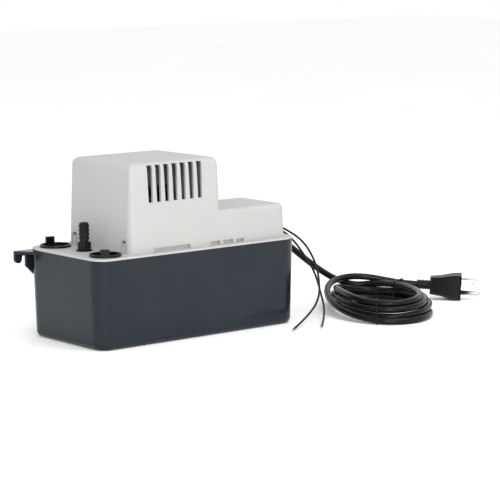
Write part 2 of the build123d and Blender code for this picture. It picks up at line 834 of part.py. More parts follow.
with BuildPart() as stator_coil:
    with BuildSketch(leg_plane.offset(-coil_length / 2 + bobbin_wall)):
        RectangleRounded(
            bobbin_in_y + 2 * (bobbin_wall + coil_build - coil_side_trim),
            bobbin_in_z + 2 * (bobbin_wall + coil_build),
            coil_corner,
        )
        core_y, core_z = bobbin_in_y + 2 * bobbin_wall, bobbin_in_z + 2 * bobbin_wall
        RectangleRounded(core_y, core_z, bobbin_corner, mode=Mode.SUBTRACT)
    extrude(amount=coil_length - 2 * bobbin_wall)
keep(stator_coil.part, "stator_coil")

coil_top = leg_z + bobbin_in_z / 2 + bobbin_wall + coil_build
with BuildPart() as thermal_protector:
    # on the coil, clear of the fan's rim
    protector_y = -(fan_d / 2 + protector_fan_gap + protector_width / 2)
    with BuildSketch(upright(pump_x, protector_y, coil_top)):
        RectangleRounded(protector_length, protector_width, protector_corner)
    extrude(amount=protector_height)
    fillet(thermal_protector.edges().group_by(Axis.Z)[-1], protector_round)
keep(thermal_protector.part, "thermal_protector")

# the two brackets are the same strap, one under the stack and one over it
rotor_end = rotor_over + rotor_ring / 2 + rotor_end_gap
lower_hub = stack_bottom - rotor_end - bracket_hub_height
upper_hub = stack_top + rotor_end
screw_seat = upper_plate + bracket_plate
for name, plate_z, boss_low, hub_low in (
    ("lower_bearing_bracket", motor_base, motor_base + bracket_plate, lower_hub),
    ("upper_bearing_bracket", upper_plate, stack_top, upper_hub),
):
    with BuildPart() as bracket:
        with BuildSketch(upright(pump_x, 0, plate_z)):
            SlotOverall(motor_screw_spacing + bracket_width, bracket_width)
            Circle(bracket_hub_d / 2 + bracket_eye_wall)
        extrude(amount=bracket_plate)
        for x in motor_screws_x:
            rod(motor_boss_d, boss_low, boss_low + bracket_gap, x, 0)
        rod(bracket_hub_d, hub_low, hub_low + bracket_hub_height, pump_x, 0)
        rod(bearing_d, hub_low, hub_low + bracket_hub_height, pump_x, 0, Mode.SUBTRACT)
        for x in motor_screws_x:
            rod(motor_screw_d + 2 * screw_fit, motor_base, screw_seat, x, 0, Mode.SUBTRACT)
    keep(bracket.part, name)
    with BuildPart() as bearing:
        rod(bearing_d, hub_low, hub_low + bracket_hub_height, pump_x, 0)
        bore_d = shaft_d + 2 * bearing_fit
        rod(bore_d, hub_low, hub_low + bracket_hub_height, pump_x, 0, Mode.SUBTRACT)
        chamfer(bearing.edges().group_by(Axis.Z)[-1].sort_by(SortBy.RADIUS)[0], bearing_chamfer)
    keep(bearing.part, name.replace("_bracket", ""))

screw_top = screw_seat + motor_screw_head
for side, x in zip(("left", "right"), motor_screws_x):
    with BuildPart() as motor_screw:
        rod(motor_screw_d, screw_foot, screw_seat, x, 0)
        rod(2 * motor_screw_d, screw_seat, screw_top, x, 0)
        fillet(motor_screw.edges().group_by(Axis.Z)[-1], motor_screw_head_round)
        with BuildSketch(upright(x, 0, screw_top)):
            Rectangle(motor_screw_slot_length, motor_screw_slot)
            Rectangle(motor_screw_slot, motor_screw_slot_length)
        extrude(amount=-motor_screw_slot_depth, mode=Mode.SUBTRACT)
    keep(motor_screw.part, f"motor_screw_{side}")

fan_low = upper_hub + bracket_hub_height + fan_gap
with BuildPart() as fan:
    rod(fan_d, fan_low, fan_low + fan_disc, pump_x, 0)
    rod(fan_hub_d, fan_low, fan_low + fan_disc + fan_blade, pump_x, 0)
    with BuildSketch(Plane.XY.offset(fan_low + fan_disc)):
        for i in range(fan_blades):
            turn = i * 360 / fan_blades
            with BuildLine():
                ThreePointArc(*swept_line(fan_hub_d, fan_d, turn, fan_sweep))
            trace(line_width=fan_blade_wall)
    extrude(amount=fan_blade)
    rod(shaft_d, fan_low, fan_low + fan_disc + fan_blade, pump_x, 0, Mode.SUBTRACT)
keep(fan.part, "fan")

# ================================================================ float, lever and push rod
nose_drop = pivot_z + lever_nose_d / 2
rod_foot = nose_drop + rod_gap
float_x = pivot_x + float_from_pivot
float_top = pivot_z - float_top_drop

with BuildPart() as float_block:
    with BuildSketch(upright(float_x, 0, float_top - float_height)):
        RectangleRounded(float_length, float_width, float_round)
    extrude(amount=float_height)
    levels = float_block.edges().group_by(Axis.Z)
    fillet(levels[0] + levels[-1], float_edge_round)
keep(float_block.part, "float")

with BuildPart() as float_lever:
    with BuildSketch(Plane.XZ.offset(-lever_thickness / 2)):
        with Locations((pivot_x, pivot_z)):
            Circle(pivot_hub_d / 2)
        with BuildLine():
            Line((pivot_x, pivot_z), (float_x, float_top + float_foot))
        trace(line_width=lever_arm_width)
        with BuildLine():
            Line((pivot_x, pivot_z), (rod_x, pivot_z))
        trace(line_width=lever_nose_d)
        with Locations((rod_x, pivot_z)):
            Circle(lever_nose_d / 2)
        with Locations((float_x, float_top - lever_arm_width)):
            Rectangle(4 * lever_arm_width, 2 * lever_arm_width, mode=Mode.SUBTRACT)
    extrude(amount=lever_thickness)
    with BuildSketch(upright(float_x, 0, float_top)):
        RectangleRounded(float_foot_length, float_foot_width, float_foot_corner)
    extrude(amount=float_foot)
    with BuildSketch(Plane.XZ):
        with Locations((pivot_x, pivot_z)):
            Circle(pivot_pin_d / 2 + pivot_fit)
    extrude(amount=lever_thickness, both=True, mode=Mode.SUBTRACT)
keep(float_lever.part, "float_lever")

with BuildPart() as float_pivot_pin:
    pin_half = ear_y + pivot_ear + pivot_pin_over
    with BuildSketch(Plane.XZ.offset(-pin_half)):
        with Locations((pivot_x, pivot_z)):
            Circle(pivot_pin_d / 2)
    extrude(amount=2 * pin_half)
    chamfer(float_pivot_pin.edges(), pivot_pin_chamfer)
keep(float_pivot_pin.part, "float_pivot_pin")

with BuildPart() as push_rod:
    rod(rod_d, rod_foot, crosshead_z, rod_x, 0)
    with BuildSketch(upright(rod_x, 0, crosshead_z)):
        RectangleRounded(crosshead_length, crosshead_width, crosshead_corner)
    extrude(amount=crosshead_height)
keep(push_rod.part, "push_rod")

# ================================================================ switches on their bracket
switch_offset = (switch_bracket_wall + switch_width) / 2
switch_top = switch_bottom + switch_height
screw_places = [
    (switch_left + switch_screw_from_end, switch_top - switch_screw_from_end),
    (switch_left + switch_length - switch_screw_from_end, switch_bottom + switch_screw_from_end),
]

for name, side in (("run_switch", 1), ("overflow_switch", -1)):
    y = side * switch_offset
    with BuildPart() as switch:
        with BuildSketch(upright(switch_left + switch_length / 2, y, switch_bottom)):
            Rectangle(switch_length, switch_width)
        extrude(amount=switch_height)
        fillet(switch.edges().filter_by(Axis.Y), switch_round)
        room = plunger_inside + plunger_room
        rod(plunger_d + 2 * plunger_fit, switch_bottom, switch_bottom + room, rod_x, y, Mode.SUBTRACT)
        with BuildSketch(Plane.XZ.offset(-y - switch_width)):
            with Locations(*screw_places):
                Circle(switch_screw_d / 2 + switch_screw_fit)
        extrude(amount=2 * switch_width, mode=Mode.SUBTRACT)
    keep(switch.part, name)
    with BuildPart() as plunger:
        foot = crosshead_z + crosshead_height + plunger_gap
        rod(plunger_d, foot, switch_bottom + plunger_inside, rod_x, y)
        fillet(plunger.edges().group_by(Axis.Z)[0], plunger_round)
    keep(plunger.part, f"{name}_plunger")
    with BuildPart() as terminals:
        for i in range(3):
            x = switch_left + terminal_inset + i * (switch_length - 2 * terminal_inset) / 2
            with BuildSketch(upright(x, y, switch_top)):
                Rectangle(terminal_thickness, terminal_width)
            extrude(amount=terminal_height)
    keep(terminals.part, f"{name}_terminals")

with BuildPart() as switch_bracket:
    post_left = switch_left + switch_length - switch_bracket_post + switch_bracket_shift
    post_right = post_left + switch_bracket_post
    plate_left = switch_left - switch_bracket_margin
    with BuildSketch(Plane.XZ.offset(-switch_bracket_wall / 2)):
        with BuildLine():
            Polyline(
                (post_left, deck_top), (post_right, deck_top), (post_right, switch_top),
                (plate_left, switch_top), (plate_left, switch_bottom),
                (post_left, switch_bottom), close=True,
            )
        make_face()
        with Locations(*screw_places):
            Circle(switch_screw_d / 2 + switch_screw_fit, mode=Mode.SUBTRACT)
    extrude(amount=switch_bracket_wall)
    foot_length = switch_bracket_post + 2 * switch_bracket_shift
    with BuildSketch(upright(post_left + foot_length / 2, 0, deck_top)):
        RectangleRounded(foot_length, switch_bracket_foot_width, switch_bracket_foot_corner)
    extrude(amount=switch_bracket_foot)
keep(switch_bracket.part, "switch_bracket")

for i, (x, z) in enumerate(screw_places, start=1):
    half = switch_bracket_wall / 2 + switch_width
    with BuildPart() as switch_screw:
        far = half + switch_screw_over
        with BuildSketch(Plane(origin=(x, far, z), x_dir=(1, 0, 0), z_dir=(0, -1, 0))):
            Circle(switch_screw_d / 2)
        extrude(amount=2 * far)
        with BuildSketch(Plane(origin=(x, -half, z), x_dir=(1, 0, 0), z_dir=(0, -1, 0))):
            Circle(switch_screw_d)
        extrude(amount=switch_screw_head)
        with BuildSketch(Plane(origin=(x, half, z), x_dir=(1, 0, 0), z_dir=(0, 1, 0))):
            RegularPolygon(switch_nut_reach, 6)
        extrude(amount=switch_nut)
    keep(switch_screw.part, f"switch_screw_{i}")

# ================================================================ cord exits in the end wall
exit_z = deck_top + cord_exit_up
tilt = radians(cord_exit_tilt)
exit_dir = Vector(cos(tilt), 0, -sin(tilt))
wall_face = cover_right - exit_inset
relief_start = Vector(wall_face + relief_flange / 2, cord_exit_y, exit_z)
relief_end = relief_start + exit_dir * relief_tail

with BuildPart() as cord_strain_relief:
    with BuildSketch(Plane.YZ.offset(wall_face - relief_neck_in)):
        with Locations((cord_exit_y, exit_z)):
            Circle(relief_neck_d / 2)
    extrude(amount=relief_neck_in)
    with BuildSketch(Plane.YZ.offset(wall_face)):
        with Locations((cord_exit_y, exit_z)):
            Circle(relief_flange_d / 2)
    extrude(amount=relief_flange)
    fillet(cord_strain_relief.edges().group_by(Axis.X)[-1], relief_flange_round)
    # the tapered tail, with ribs, that bends down with the cord
    with BuildSketch(Plane(origin=relief_start, z_dir=exit_dir)) as relief_root:
        Circle(relief_root_d / 2)
    with BuildSketch(Plane(origin=relief_end, z_dir=exit_dir)) as relief_tip:
        Circle(relief_tip_d / 2)
    loft()
    for i in range(relief_ribs):
        along = relief_tail * (0.3 + 0.62 * i / (relief_ribs - 1))
        grow = relief_root_d + (relief_tip_d - relief_root_d) * along / relief_tail
        rib_start = relief_start + exit_dir * (along - relief_rib / 2)
        with BuildSketch(Plane(origin=rib_start, z_dir=exit_dir)):
            Circle(grow / 2 + relief_rib_over)
        extrude(amount=relief_rib)
keep(cord_strain_relief.part, "cord_strain_relief")

wire_z = deck_top + wire_up
grommet_y = (wire_ys[0] + wire_ys[1]) / 2
with BuildPart() as lead_grommet:
    with BuildSketch(Plane.YZ.offset(wall_face - grommet_neck_in)):
        with Locations((grommet_y, wire_z)):
            SlotOverall(grommet_length - 2 * grommet_step, grommet_height - 2 * grommet_step)
    extrude(amount=grommet_neck_in)
    with BuildSketch(Plane.YZ.offset(wall_face)):
        with Locations((grommet_y, wire_z)):
            SlotOverall(grommet_length, grommet_height)
    extrude(amount=grommet_flange)
    fillet(lead_grommet.edges().group_by(Axis.X)[-1], grommet_round)
keep(lead_grommet.part, "lead_grommet")


# ================================================================ cords
def route_radii(points):
    """For each corner, the radius of an arc that takes 0.45 of the shorter run on each side."""
    places = [Vector(*p) for p in points]
    radii = []
    for before, corner, after in zip(places, places[1:], places[2:]):
        shorter = min((corner - before).length, (after - corner).length)
        turn = radians((corner - before).get_angle(after - corner))
        radii.append(0.45 * shorter / tan(turn / 2))
    return radii


def laid_tube(name, points, diameter):
    """A cord's tube along straight runs joined by tangent arcs."""
    radii = route_radii(points)
    first, second = Vector(*points[0]), Vector(*points[1])
    with BuildPart() as tube:
        with BuildLine() as path:
            FilletPolyline(*points, radius=radii)
        with BuildSketch(Plane(origin=first, z_dir=(second - first).normalized())):
            Circle(diameter / 2)
        sweep()
    length = path.wires()[0].length
    ratio = tube.part.volume / (length * pi * diameter**2 / 4)
    print(name, "radii", [round(r, 1) for r in radii])
    print(name, "length", round(length, 1), "volume ratio", round(ratio, 4))
    keep(tube.part, name)
    return Vector(*points[-1]), (Vector(*points[-1]) - Vector(*points[-2])).normalized()


lead_route = [
    (138.75, 21.5, 93.36),
    (150.0, 21.6, 88.1),
    (171.0, 21.9, 74.8),
    (194.0, 20.6, 56.5),
    (214.0, 15.6, 40.2),
    (227.5, 9.2, 30.4),
    (237.5, 0.5, 25.5),
]
tail_route = [(265.0, 5.0, 22.0), (289.54, -17.87, 18.29), (313.0, -41.0, 16.5)]
wire_routes = [
    [
        (118.1, -4.0, 98.5), (134.0, -4.0, 98.5), (158.0, -5.3, 87.4), (177.0, -9.5, 74.0),
        (184.5, -19.0, 54.0), (177.5, -34.0, 38.0), (160.0, -55.0, 20.0), (124.0, -79.0, 8.6),
        (88.5, -98.0, 2.4),
    ],
    [
        (118.1, 2.0, 98.5), (133.0, 2.0, 98.5), (155.0, 4.3, 88.2), (171.5, 3.0, 76.5),
        (182.5, -4.5, 58.0), (187.0, -16.0, 40.5), (178.5, -34.0, 24.5), (162.0, -60.0, 12.0),
        (138.0, -87.0, 4.4), (120.0, -104.5, 2.1),
    ],
]

laid_tube("power_cord_lead", lead_route, cord_d)
laid_tube("power_cord_tail", tail_route, cord_d)
for i, route in enumerate(wire_routes, start=1):
    end, heading = laid_tube(f"switch_lead_{i}", route, wire_d)
    with BuildPart() as wire_end:
        with BuildSketch(Plane(origin=end, z_dir=heading)):
            Circle(wire_tip_d / 2)
        extrude(amount=wire_tip)
    keep(wire_end.part, f"switch_lead_tip_{i}")

# ================================================================ the coil of cord and its ties
coil_plane = Plane(
    origin=(coil_centre[0], coil_centre[1], 0),
    x_dir=(cos(radians(coil_angle)), sin(radians(coil_angle)), 0),
    z_dir=(0, 0, 1),
)
half_bundle = coil_bundle_width / 2
with BuildPart() as power_cord_coil:
    with BuildSketch(coil_plane.offset(tie_thickness)):
        Ellipse(coil_half_long + half_bundle, coil_half_short + half_bundle)
        Ellipse(coil_half_long - half_bundle, coil_half_short - half_bundle, mode=Mode.SUBTRACT)
    extrude(amount=coil_bundle_height)
    fillet(power_cord_coil.edges(), coil_edge_round)
keep(power_cord_coil.part, "power_cord_coil")

for i, turn in enumerate(tie_angles, start=1):
    u = radians(turn)
    # a point of the ellipse and the direction of the bundle there
    mid_height = tie_thickness + coil_bundle_height / 2
    local = Vector(coil_half_long * cos(u), -coil_half_short * sin(u), mid_height)
    along = Vector(-coil_half_long * sin(u), -coil_half_short * cos(u), 0)
    place = coil_plane.from_local_coords(local)
    ahead = (coil_plane.from_local_coords(local + along) - place).normalized()
    tie_plane = Plane(origin=place, x_dir=(0, 0, 1), z_dir=ahead)
    with BuildPart() as tie:
        with BuildSketch(tie_plane.offset(-tie_width / 2)):
            high, wide = coil_bundle_height, coil_bundle_width + 2 * tie_gap
            wrap = 2 * tie_thickness
            RectangleRounded(high + wrap, wide + wrap, tie_corner + tie_thickness)
            RectangleRounded(high, wide, tie_corner, mode=Mode.SUBTRACT)
        extrude(amount=tie_width)
    keep(tie.part, f"cord_tie_{i}")

# ================================================================ plug
heading, tilt_down = radians(plug_heading), radians(plug_tilt)
plug_dir = Vector(cos(heading) * cos(tilt_down), sin(heading) * cos(tilt_down), -sin(tilt_down))
plug_plane = Plane(
    origin=plug_start,
    x_dir=(cos(heading) * sin(tilt_down), sin(heading) * sin(tilt_down), cos(tilt_down)),
    z_dir=plug_dir,
)
body_start = plug_relief_length
face_at = plug_relief_length + plug_body_length

with BuildPart() as plug_strain_relief:
    with BuildSketch(plug_plane):
        Circle(plug_relief_d / 2 - plug_relief_groove)
    extrude(amount=plug_relief_length)
    for i in range(plug_relief_ribs):
        step = (plug_relief_length - plug_relief_rib) / (plug_relief_ribs - 1)
        with BuildSketch(plug_plane.offset(i * step)):
            Circle(plug_relief_d / 2)
        extrude(amount=plug_relief_rib)
keep(plug_strain_relief.part, "plug_strain_relief")

band_height = plug_face_height - 2 * plug_band_step
band_width = plug_face_width - 2 * plug_band_step
band_at = face_at - plug_face_band
lead_in = plug_rim / (band_at - body_start)
panel_stops = [
    (
        body_start + plug_rim,
        plug_back_height + lead_in * (band_height - plug_back_height),
        plug_back_width + lead_in * (band_width - plug_back_width),
    ),
    (band_at, band_height, band_width),
    (face_at - plug_rim, plug_face_height, plug_face_width),
]
with BuildPart() as power_plug:
    with BuildSketch(plug_plane.offset(body_start)):
        RectangleRounded(plug_back_height, plug_back_width, plug_edge)
    with BuildSketch(plug_plane.offset(band_at)):
        RectangleRounded(band_height, band_width, plug_edge)
    loft(ruled=True)
    with BuildSketch(plug_plane.offset(band_at)):
        RectangleRounded(band_height, band_width, plug_edge)
    with BuildSketch(plug_plane.offset(face_at)):
        RectangleRounded(plug_face_height, plug_face_width, plug_edge)
    loft(ruled=True)
    # a sunk panel in each wide side, inside a raised rim
    for side in (-1, 1):
        for first, second in zip(panel_stops, panel_stops[1:]):
            for along, high, wide in (first, second):
                with BuildSketch(plug_plane.offset(along)):
                    with Locations((0, side * wide / 2)):
                        Rectangle(high - 2 * plug_edge - 2 * plug_rim, 2 * plug_panel_depth)
            loft(ruled=True, mode=Mode.SUBTRACT)
keep(power_plug.part, "power_plug")

for i, side in enumerate((-1, 1), start=1):
    with BuildPart() as blade:
        with BuildSketch(plug_plane.offset(face_at)):
            with Locations((blade_rise, side * blade_spacing / 2)):
                Rectangle(blade_width, blade_thickness)
        extrude(amount=blade_length)
        tip_edges = blade.edges().filter_by(lambda e: abs(e.length - blade_thickness) < 0.01)
        far = tip_edges.sort_by(lambda e: (e.center() - Vector(*plug_start)).length)[-2:]
        chamfer(far, blade_chamfer)
        hole_place = plug_plane.from_local_coords(
            Vector(
                blade_rise,
                side * blade_spacing / 2 - blade_thickness,
                face_at + blade_length - blade_hole_from_tip,
            )
        )
        with BuildSketch(Plane(origin=hole_place, z_dir=plug_plane.y_dir)):
            Circle(blade_hole_d / 2)
        extrude(amount=2 * blade_thickness, mode=Mode.SUBTRACT)
    keep(blade.part, f"plug_blade_{i}")

with BuildPart() as ground_pin:
    with BuildSketch(plug_plane.offset(face_at)):
        with Locations((blade_rise - ground_drop, 0)):
            Circle(ground_d / 2)
    extrude(amount=ground_length)
    pin_tip = ground_pin.edges().sort_by(lambda e: (e.center() - Vector(*plug_start)).length)[-1]
    fillet(pin_tip, ground_d / 2 - ground_tip_flat)
keep(ground_pin.part, "plug_ground_pin")
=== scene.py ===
import json
import math

import bmesh
import bpy
from mathutils import Matrix, Vector


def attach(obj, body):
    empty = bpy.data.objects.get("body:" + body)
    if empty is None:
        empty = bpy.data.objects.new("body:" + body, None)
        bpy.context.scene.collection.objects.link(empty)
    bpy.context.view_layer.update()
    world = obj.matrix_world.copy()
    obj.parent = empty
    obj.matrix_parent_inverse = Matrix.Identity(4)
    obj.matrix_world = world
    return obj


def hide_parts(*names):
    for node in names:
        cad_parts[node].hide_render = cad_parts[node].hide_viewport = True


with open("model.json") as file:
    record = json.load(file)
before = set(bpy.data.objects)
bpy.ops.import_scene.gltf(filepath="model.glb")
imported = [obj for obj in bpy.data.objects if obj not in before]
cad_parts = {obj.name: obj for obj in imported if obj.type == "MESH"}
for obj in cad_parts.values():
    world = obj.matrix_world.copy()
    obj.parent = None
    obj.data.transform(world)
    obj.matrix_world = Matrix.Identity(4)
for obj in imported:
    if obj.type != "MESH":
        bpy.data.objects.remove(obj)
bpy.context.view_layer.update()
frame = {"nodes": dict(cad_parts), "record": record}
nodes = frame["nodes"]
MM = 0.001

# ---------------------------------------------------------------- camera
EYE = Vector((-1.2619, -1.7028, 0.3945))
LOOK = Vector((0.6210, 0.7699, -0.1468)).normalized()
ROLL = math.radians(-0.5)
level = LOOK.cross(Vector((0, 0, 1))).normalized()
rise = level.cross(LOOK)
right = level * math.cos(ROLL) + rise * math.sin(ROLL)
up = right.cross(LOOK)
camera_data = bpy.data.cameras.new("camera")
camera_data.lens = 152.15
camera_data.sensor_width = 36.0
camera_data.clip_start = 0.05
camera_data.clip_end = 30.0
camera = bpy.data.objects.new("camera", camera_data)
bpy.context.collection.objects.link(camera)
camera.matrix_world = Matrix.Translation(EYE) @ Matrix((right, up, -LOOK)).transposed().to_4x4()
bpy.context.scene.camera = camera


# ---------------------------------------------------------------- materials
NOISE_LOW, NOISE_HIGH = 0.3, 0.7  # the span that a noise mostly stays in
CLOUD_SCALE = 22.0
GLOSS_SCALE = 70.0
WAVE_SCALE = 9.0
PATCH_SCALE = 60.0
METAL_VARY = 0.12
LAMINATION = 0.5 * MM


class Nodes:
    """A material's node tree, built from short calls."""

    def __init__(self, name):
        self.material = bpy.data.materials.new(name)
        self.material.use_nodes = True
        self.tree = self.material.node_tree
        self.shader = self.tree.nodes["Principled BSDF"]
        self.where = self.add("ShaderNodeTexCoord").outputs["Object"]

    def add(self, kind, **values):
        node = self.tree.nodes.new(kind)
        for key, value in values.items():
            if hasattr(node, key):
                setattr(node, key, value)
            else:
                node.inputs[key.replace("_", " ")].default_value = value
        return node

    def link(self, source, target):
        self.tree.links.new(source, target)

    def noise(self, scale, detail=3.0, stretch=None):
        node = self.add("ShaderNodeTexNoise", Scale=scale, Detail=detail, Roughness=0.55)
        if stretch:
            mapping = self.add("ShaderNodeMapping", Scale=stretch)
            self.link(self.where, mapping.inputs["Vector"])
            self.link(mapping.outputs["Vector"], node.inputs["Vector"])
        else:
            self.link(self.where, node.inputs["Vector"])
        return node.outputs["Fac"]

    def ramp(self, source, stops):
        node = self.add("ShaderNodeValToRGB")
        row = node.color_ramp.elements
        while len(row) < len(stops):
            row.new(0.5)
        for element, (place, colour) in zip(row, stops):
            element.position = place
            element.color = (*colour, 1.0)
        self.link(source, node.inputs["Fac"])
        return node.outputs["Color"]

    def tint(self, source, stops):
        self.link(self.ramp(source, stops), self.shader.inputs["Base Color"])

    def cloudy(self, source, colour, vary):
        """A colour that drifts darker and lighter with a noise."""
        self.tint(source, [(NOISE_LOW, shade(colour, 1 - vary)), (NOISE_HIGH, shade(colour, 1 + vary))])

    def gloss(self, source, low, high):
        """Roughness from low to high with a noise."""
        node = self.add(
            "ShaderNodeMapRange", From_Min=NOISE_LOW, From_Max=NOISE_HIGH, To_Min=low, To_Max=high
        )
        self.link(source, node.inputs["Value"])
        self.link(node.outputs["Result"], self.shader.inputs["Roughness"])

    def bump(self, layers):
        """Stacked bumps: (height source, strength, depth in metres)."""
        normal = None
        for source, strength, depth in layers:
            node = self.add("ShaderNodeBump", Strength=strength, Distance=depth)
            self.link(source, node.inputs["Height"])
            if normal:
                self.link(normal, node.inputs["Normal"])
            normal = node.outputs["Normal"]
        self.link(normal, self.shader.inputs["Normal"])

    def set(self, **values):
        for key, value in values.items():
            self.shader.inputs[key.replace("_", " ")].default_value = value


def shade(colour, factor):
    return tuple(min(1.0, c * factor) for c in colour)


def moulded(name, colour, rough, vary, grain=1800.0, grain_depth=0.00002, wave=0.0, **more):
    """Moulded plastic or rubber: cloudy colour, uneven gloss, fine grain and a slow waviness."""
    m = Nodes(name)
    m.cloudy(m.noise(CLOUD_SCALE, 4.0), colour, vary)
    m.gloss(m.noise(GLOSS_SCALE), rough * 0.85, rough * 1.18)
    layers = [(m.noise(grain, 2.0), 0.35, grain_depth)]
    if wave:
        layers.append((m.noise(WAVE_SCALE, 1.0), 0.25, wave))
    m.bump(layers)
    m.set(**more)
    return m.material


def metal(name, colour, rough, brush=(1.0, 1.0, 1.0), scale=900.0):
    """Metal with brushed or cast grain, and dull patches."""
    m = Nodes(name)
    lines = m.noise(scale, stretch=brush)
    m.cloudy(m.noise(PATCH_SCALE, 4.0), colour, METAL_VARY)
    m.gloss(lines, rough * 0.7, rough * 1.35)
    m.bump([(lines, 0.25, 0.00003)])
    m.set(Metallic=1.0)
    return m.material


def laminated(name, colour):
    """Steel sheets stacked upwards, with varnish between them."""
    m = Nodes(name)
    split = m.add("ShaderNodeSeparateXYZ")
    m.link(m.where, split.inputs["Vector"])
    sheet = m.add("ShaderNodeMath", operation="MULTIPLY")
    sheet.inputs[1].default_value = 1.0 / LAMINATION
    m.link(split.outputs["Z"], sheet.inputs[0])
    seam = m.add("ShaderNodeMath", operation="PINGPONG")
    seam.inputs[1].default_value = 1.0
    m.link(sheet.outputs[0], seam.inputs[0])
    m.tint(seam.outputs[0], [(0.05, shade(colour, 0.35)), (0.3, colour)])
    m.gloss(m.noise(300.0), 0.35, 0.6)
    m.bump([(seam.outputs[0], 0.4, 0.0001)])
    m.set(Metallic=0.85)
    return m.material


def wound(name, dark, light):
    """Wire wound about the X axis under varnished tape."""
    m = Nodes(name)
    wave = m.add("ShaderNodeTexWave", Scale=420.0, Distortion=0.6, Detail=1.0)
    m.link(m.where, wave.inputs["Vector"])
    m.tint(wave.outputs["Fac"], [(0.1, dark), (0.8, light)])
    m.gloss(m.noise(200.0), 0.3, 0.5)
    m.bump([(wave.outputs["Fac"], 0.5, 0.0002)])
    return m.material


def speckled(name, colour):
    """Closed-cell foam: a skin of small pits."""
    m = Nodes(name)
    cells = m.add("ShaderNodeTexVoronoi", Scale=900.0)
    m.link(m.where, cells.inputs["Vector"])
    m.tint(cells.outputs["Distance"], [(0.0, shade(colour, 0.86)), (0.6, colour)])
    m.gloss(m.noise(120.0), 0.55, 0.75)
    m.bump([(cells.outputs["Distance"], 0.4, 0.0002)])
    return m.material


look = {
    "tank_gloss_black": moulded(
        "tank_gloss_black", (0.0070, 0.0125, 0.0180), 0.22, 0.16, 2600.0, 0.000006, 0.0016,
        Coat_Weight=0.08, Coat_Roughness=0.1, Specular_IOR_Level=0.22,
    ),
    "cover_cream": moulded(
        "cover_cream", (0.392, 0.390, 0.380), 0.5, 0.02, 2200.0, 0.00002, 0.0006,
        Specular_IOR_Level=0.3,
    ),
    "black_plastic": moulded(
        "black_plastic", (0.0035, 0.0045, 0.006), 0.2, 0.2, 1600.0, 0.00001, Specular_IOR_Level=0.2,
    ),
    "grey_plastic": moulded("grey_plastic", (0.30, 0.31, 0.32), 0.45, 0.06, 1600.0, 0.00002),
    "black_rubber": moulded(
        "black_rubber", (0.004, 0.0055, 0.0065), 0.36, 0.2, 1200.0, 0.00004, Specular_IOR_Level=0.16,
    ),
    "cord_jacket": moulded(
        "cord_jacket", (0.0035, 0.0045, 0.0055), 0.24, 0.2, 1400.0, 0.00003, Specular_IOR_Level=0.16,
    ),
    "lamination_steel": laminated("lamination_steel", (0.42, 0.42, 0.43)),
    "steel": metal("steel", (0.58, 0.58, 0.59), 0.3),
    "aluminium_cast": metal("aluminium_cast", (0.60, 0.60, 0.60), 0.5, scale=500.0),
    "bronze": metal("bronze", (0.50, 0.35, 0.18), 0.45),
    "coil_tape": wound("coil_tape", (0.16, 0.035, 0.012), (0.50, 0.14, 0.05)),
    "bobbin_nylon": moulded("bobbin_nylon", (0.05, 0.045, 0.04), 0.45, 0.1),
    "float_foam": speckled("float_foam", (0.80, 0.80, 0.77)),
    "nickel_brass": metal("nickel_brass", (0.62, 0.60, 0.55), 0.28, (1.0, 1.0, 0.2)),
    "tinned_copper": metal("tinned_copper", (0.62, 0.56, 0.48), 0.35, (0.3, 1.0, 1.0)),
}
slot_of = {part["node"]: part["material_slot"] for part in frame["record"]["subparts"]}
for name, node in nodes.items():
    for holder in node.material_slots:
        holder.material = look[slot_of[name]]


def finish_piece(piece, slot):
    piece.data.materials.append(look[slot])
    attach(piece, "housing")


# ---------------------------------------------------------------- cords
def cord_curve(name, points, diameter):
    """A smooth tube whose control points are given in millimetres."""
    data = bpy.data.curves.new(name, "CURVE")
    data.dimensions = "3D"
    spline = data.splines.new("NURBS")
    spline.points.add(len(points) - 1)
    for point, place in zip(spline.points, points):
        point.co = (place[0] * MM, place[1] * MM, place[2] * MM, 1.0)
    spline.order_u = 3
    spline.use_endpoint_u = True
    data.resolution_u = 8
    data.bevel_depth = diameter * MM / 2
    data.bevel_resolution = 5
    data.use_fill_caps = True
    piece = bpy.data.objects.new(name, data)
    bpy.context.collection.objects.link(piece)
    return piece


CORD_D = 7.0
COIL_CENTRE = Vector((229.0, -67.5))
COIL_A = Vector((34.7, 74.3))  # the long half axis, at 0 degrees round the coil
COIL_B = Vector((47.1, -22.0))  # the short half axis, at 90 degrees
# The coil's way round: degrees turned, offset outwards in mm, and height of the cord's middle in mm.
# A fitting program made these rows: it matched them to the photo and kept the strands apart.
WINDING = [
    (0, -1.6, 15.2), (30, -4.8, 18.2), (60, -8.5, 20.2), (90, -10.9, 21.2), (120, -11.1, 21.7),
    (150, -11.1, 21), (180, -12, 19.5), (210, -11, 19.7), (240, -10.8, 22.8), (270, -13.8, 23.8),
    (300, -13.5, 21.4), (330, -11.5, 17.1), (360, -10.1, 12.4), (390, -7.3, 10.4), (420, -3.6, 13.1),
    (450, -3.2, 15.9), (480, -5.5, 16.6), (510, -6.6, 15.5), (540, -6.6, 14.2), (570, -6.1, 14.2),
    (600, -8.5, 15.7), (630, -10.6, 16.3), (660, -9.6, 14.4), (690, -6.5, 11.1), (720, -3.3, 8.2),
    (750, -0.5, 7.1), (780, 1.4, 7.7), (810, 1.5, 10.3), (840, -0.7, 11.1), (870, -3.5, 8.8),
    (900, -5.6, 6.9), (930, -7.5, 7), (960, -9, 8.3), (990, -9.7, 8.4), (1020, -10, 6.9),
    (1050, -10.6, 4.8), (1080, -10.7, 3.6), (1110, -8.9, 3.5), (1140, -5.3, 3.6), (1170, -2.6, 3.5),
    (1200, 0.7, 3.5), (1230, 2, 3.6), (1260, 1.1, 3.5), (1290, 1.5, 4.1), (1320, 0.8, 8.3),
    (1350, -1, 14.7), (1380, -3.2, 21.3), (1410, -3.7, 25.1), (1440, -2.6, 25.4),
]
WINDING_STEP = 20  # degrees from one control point to the next, so 18 for each turn
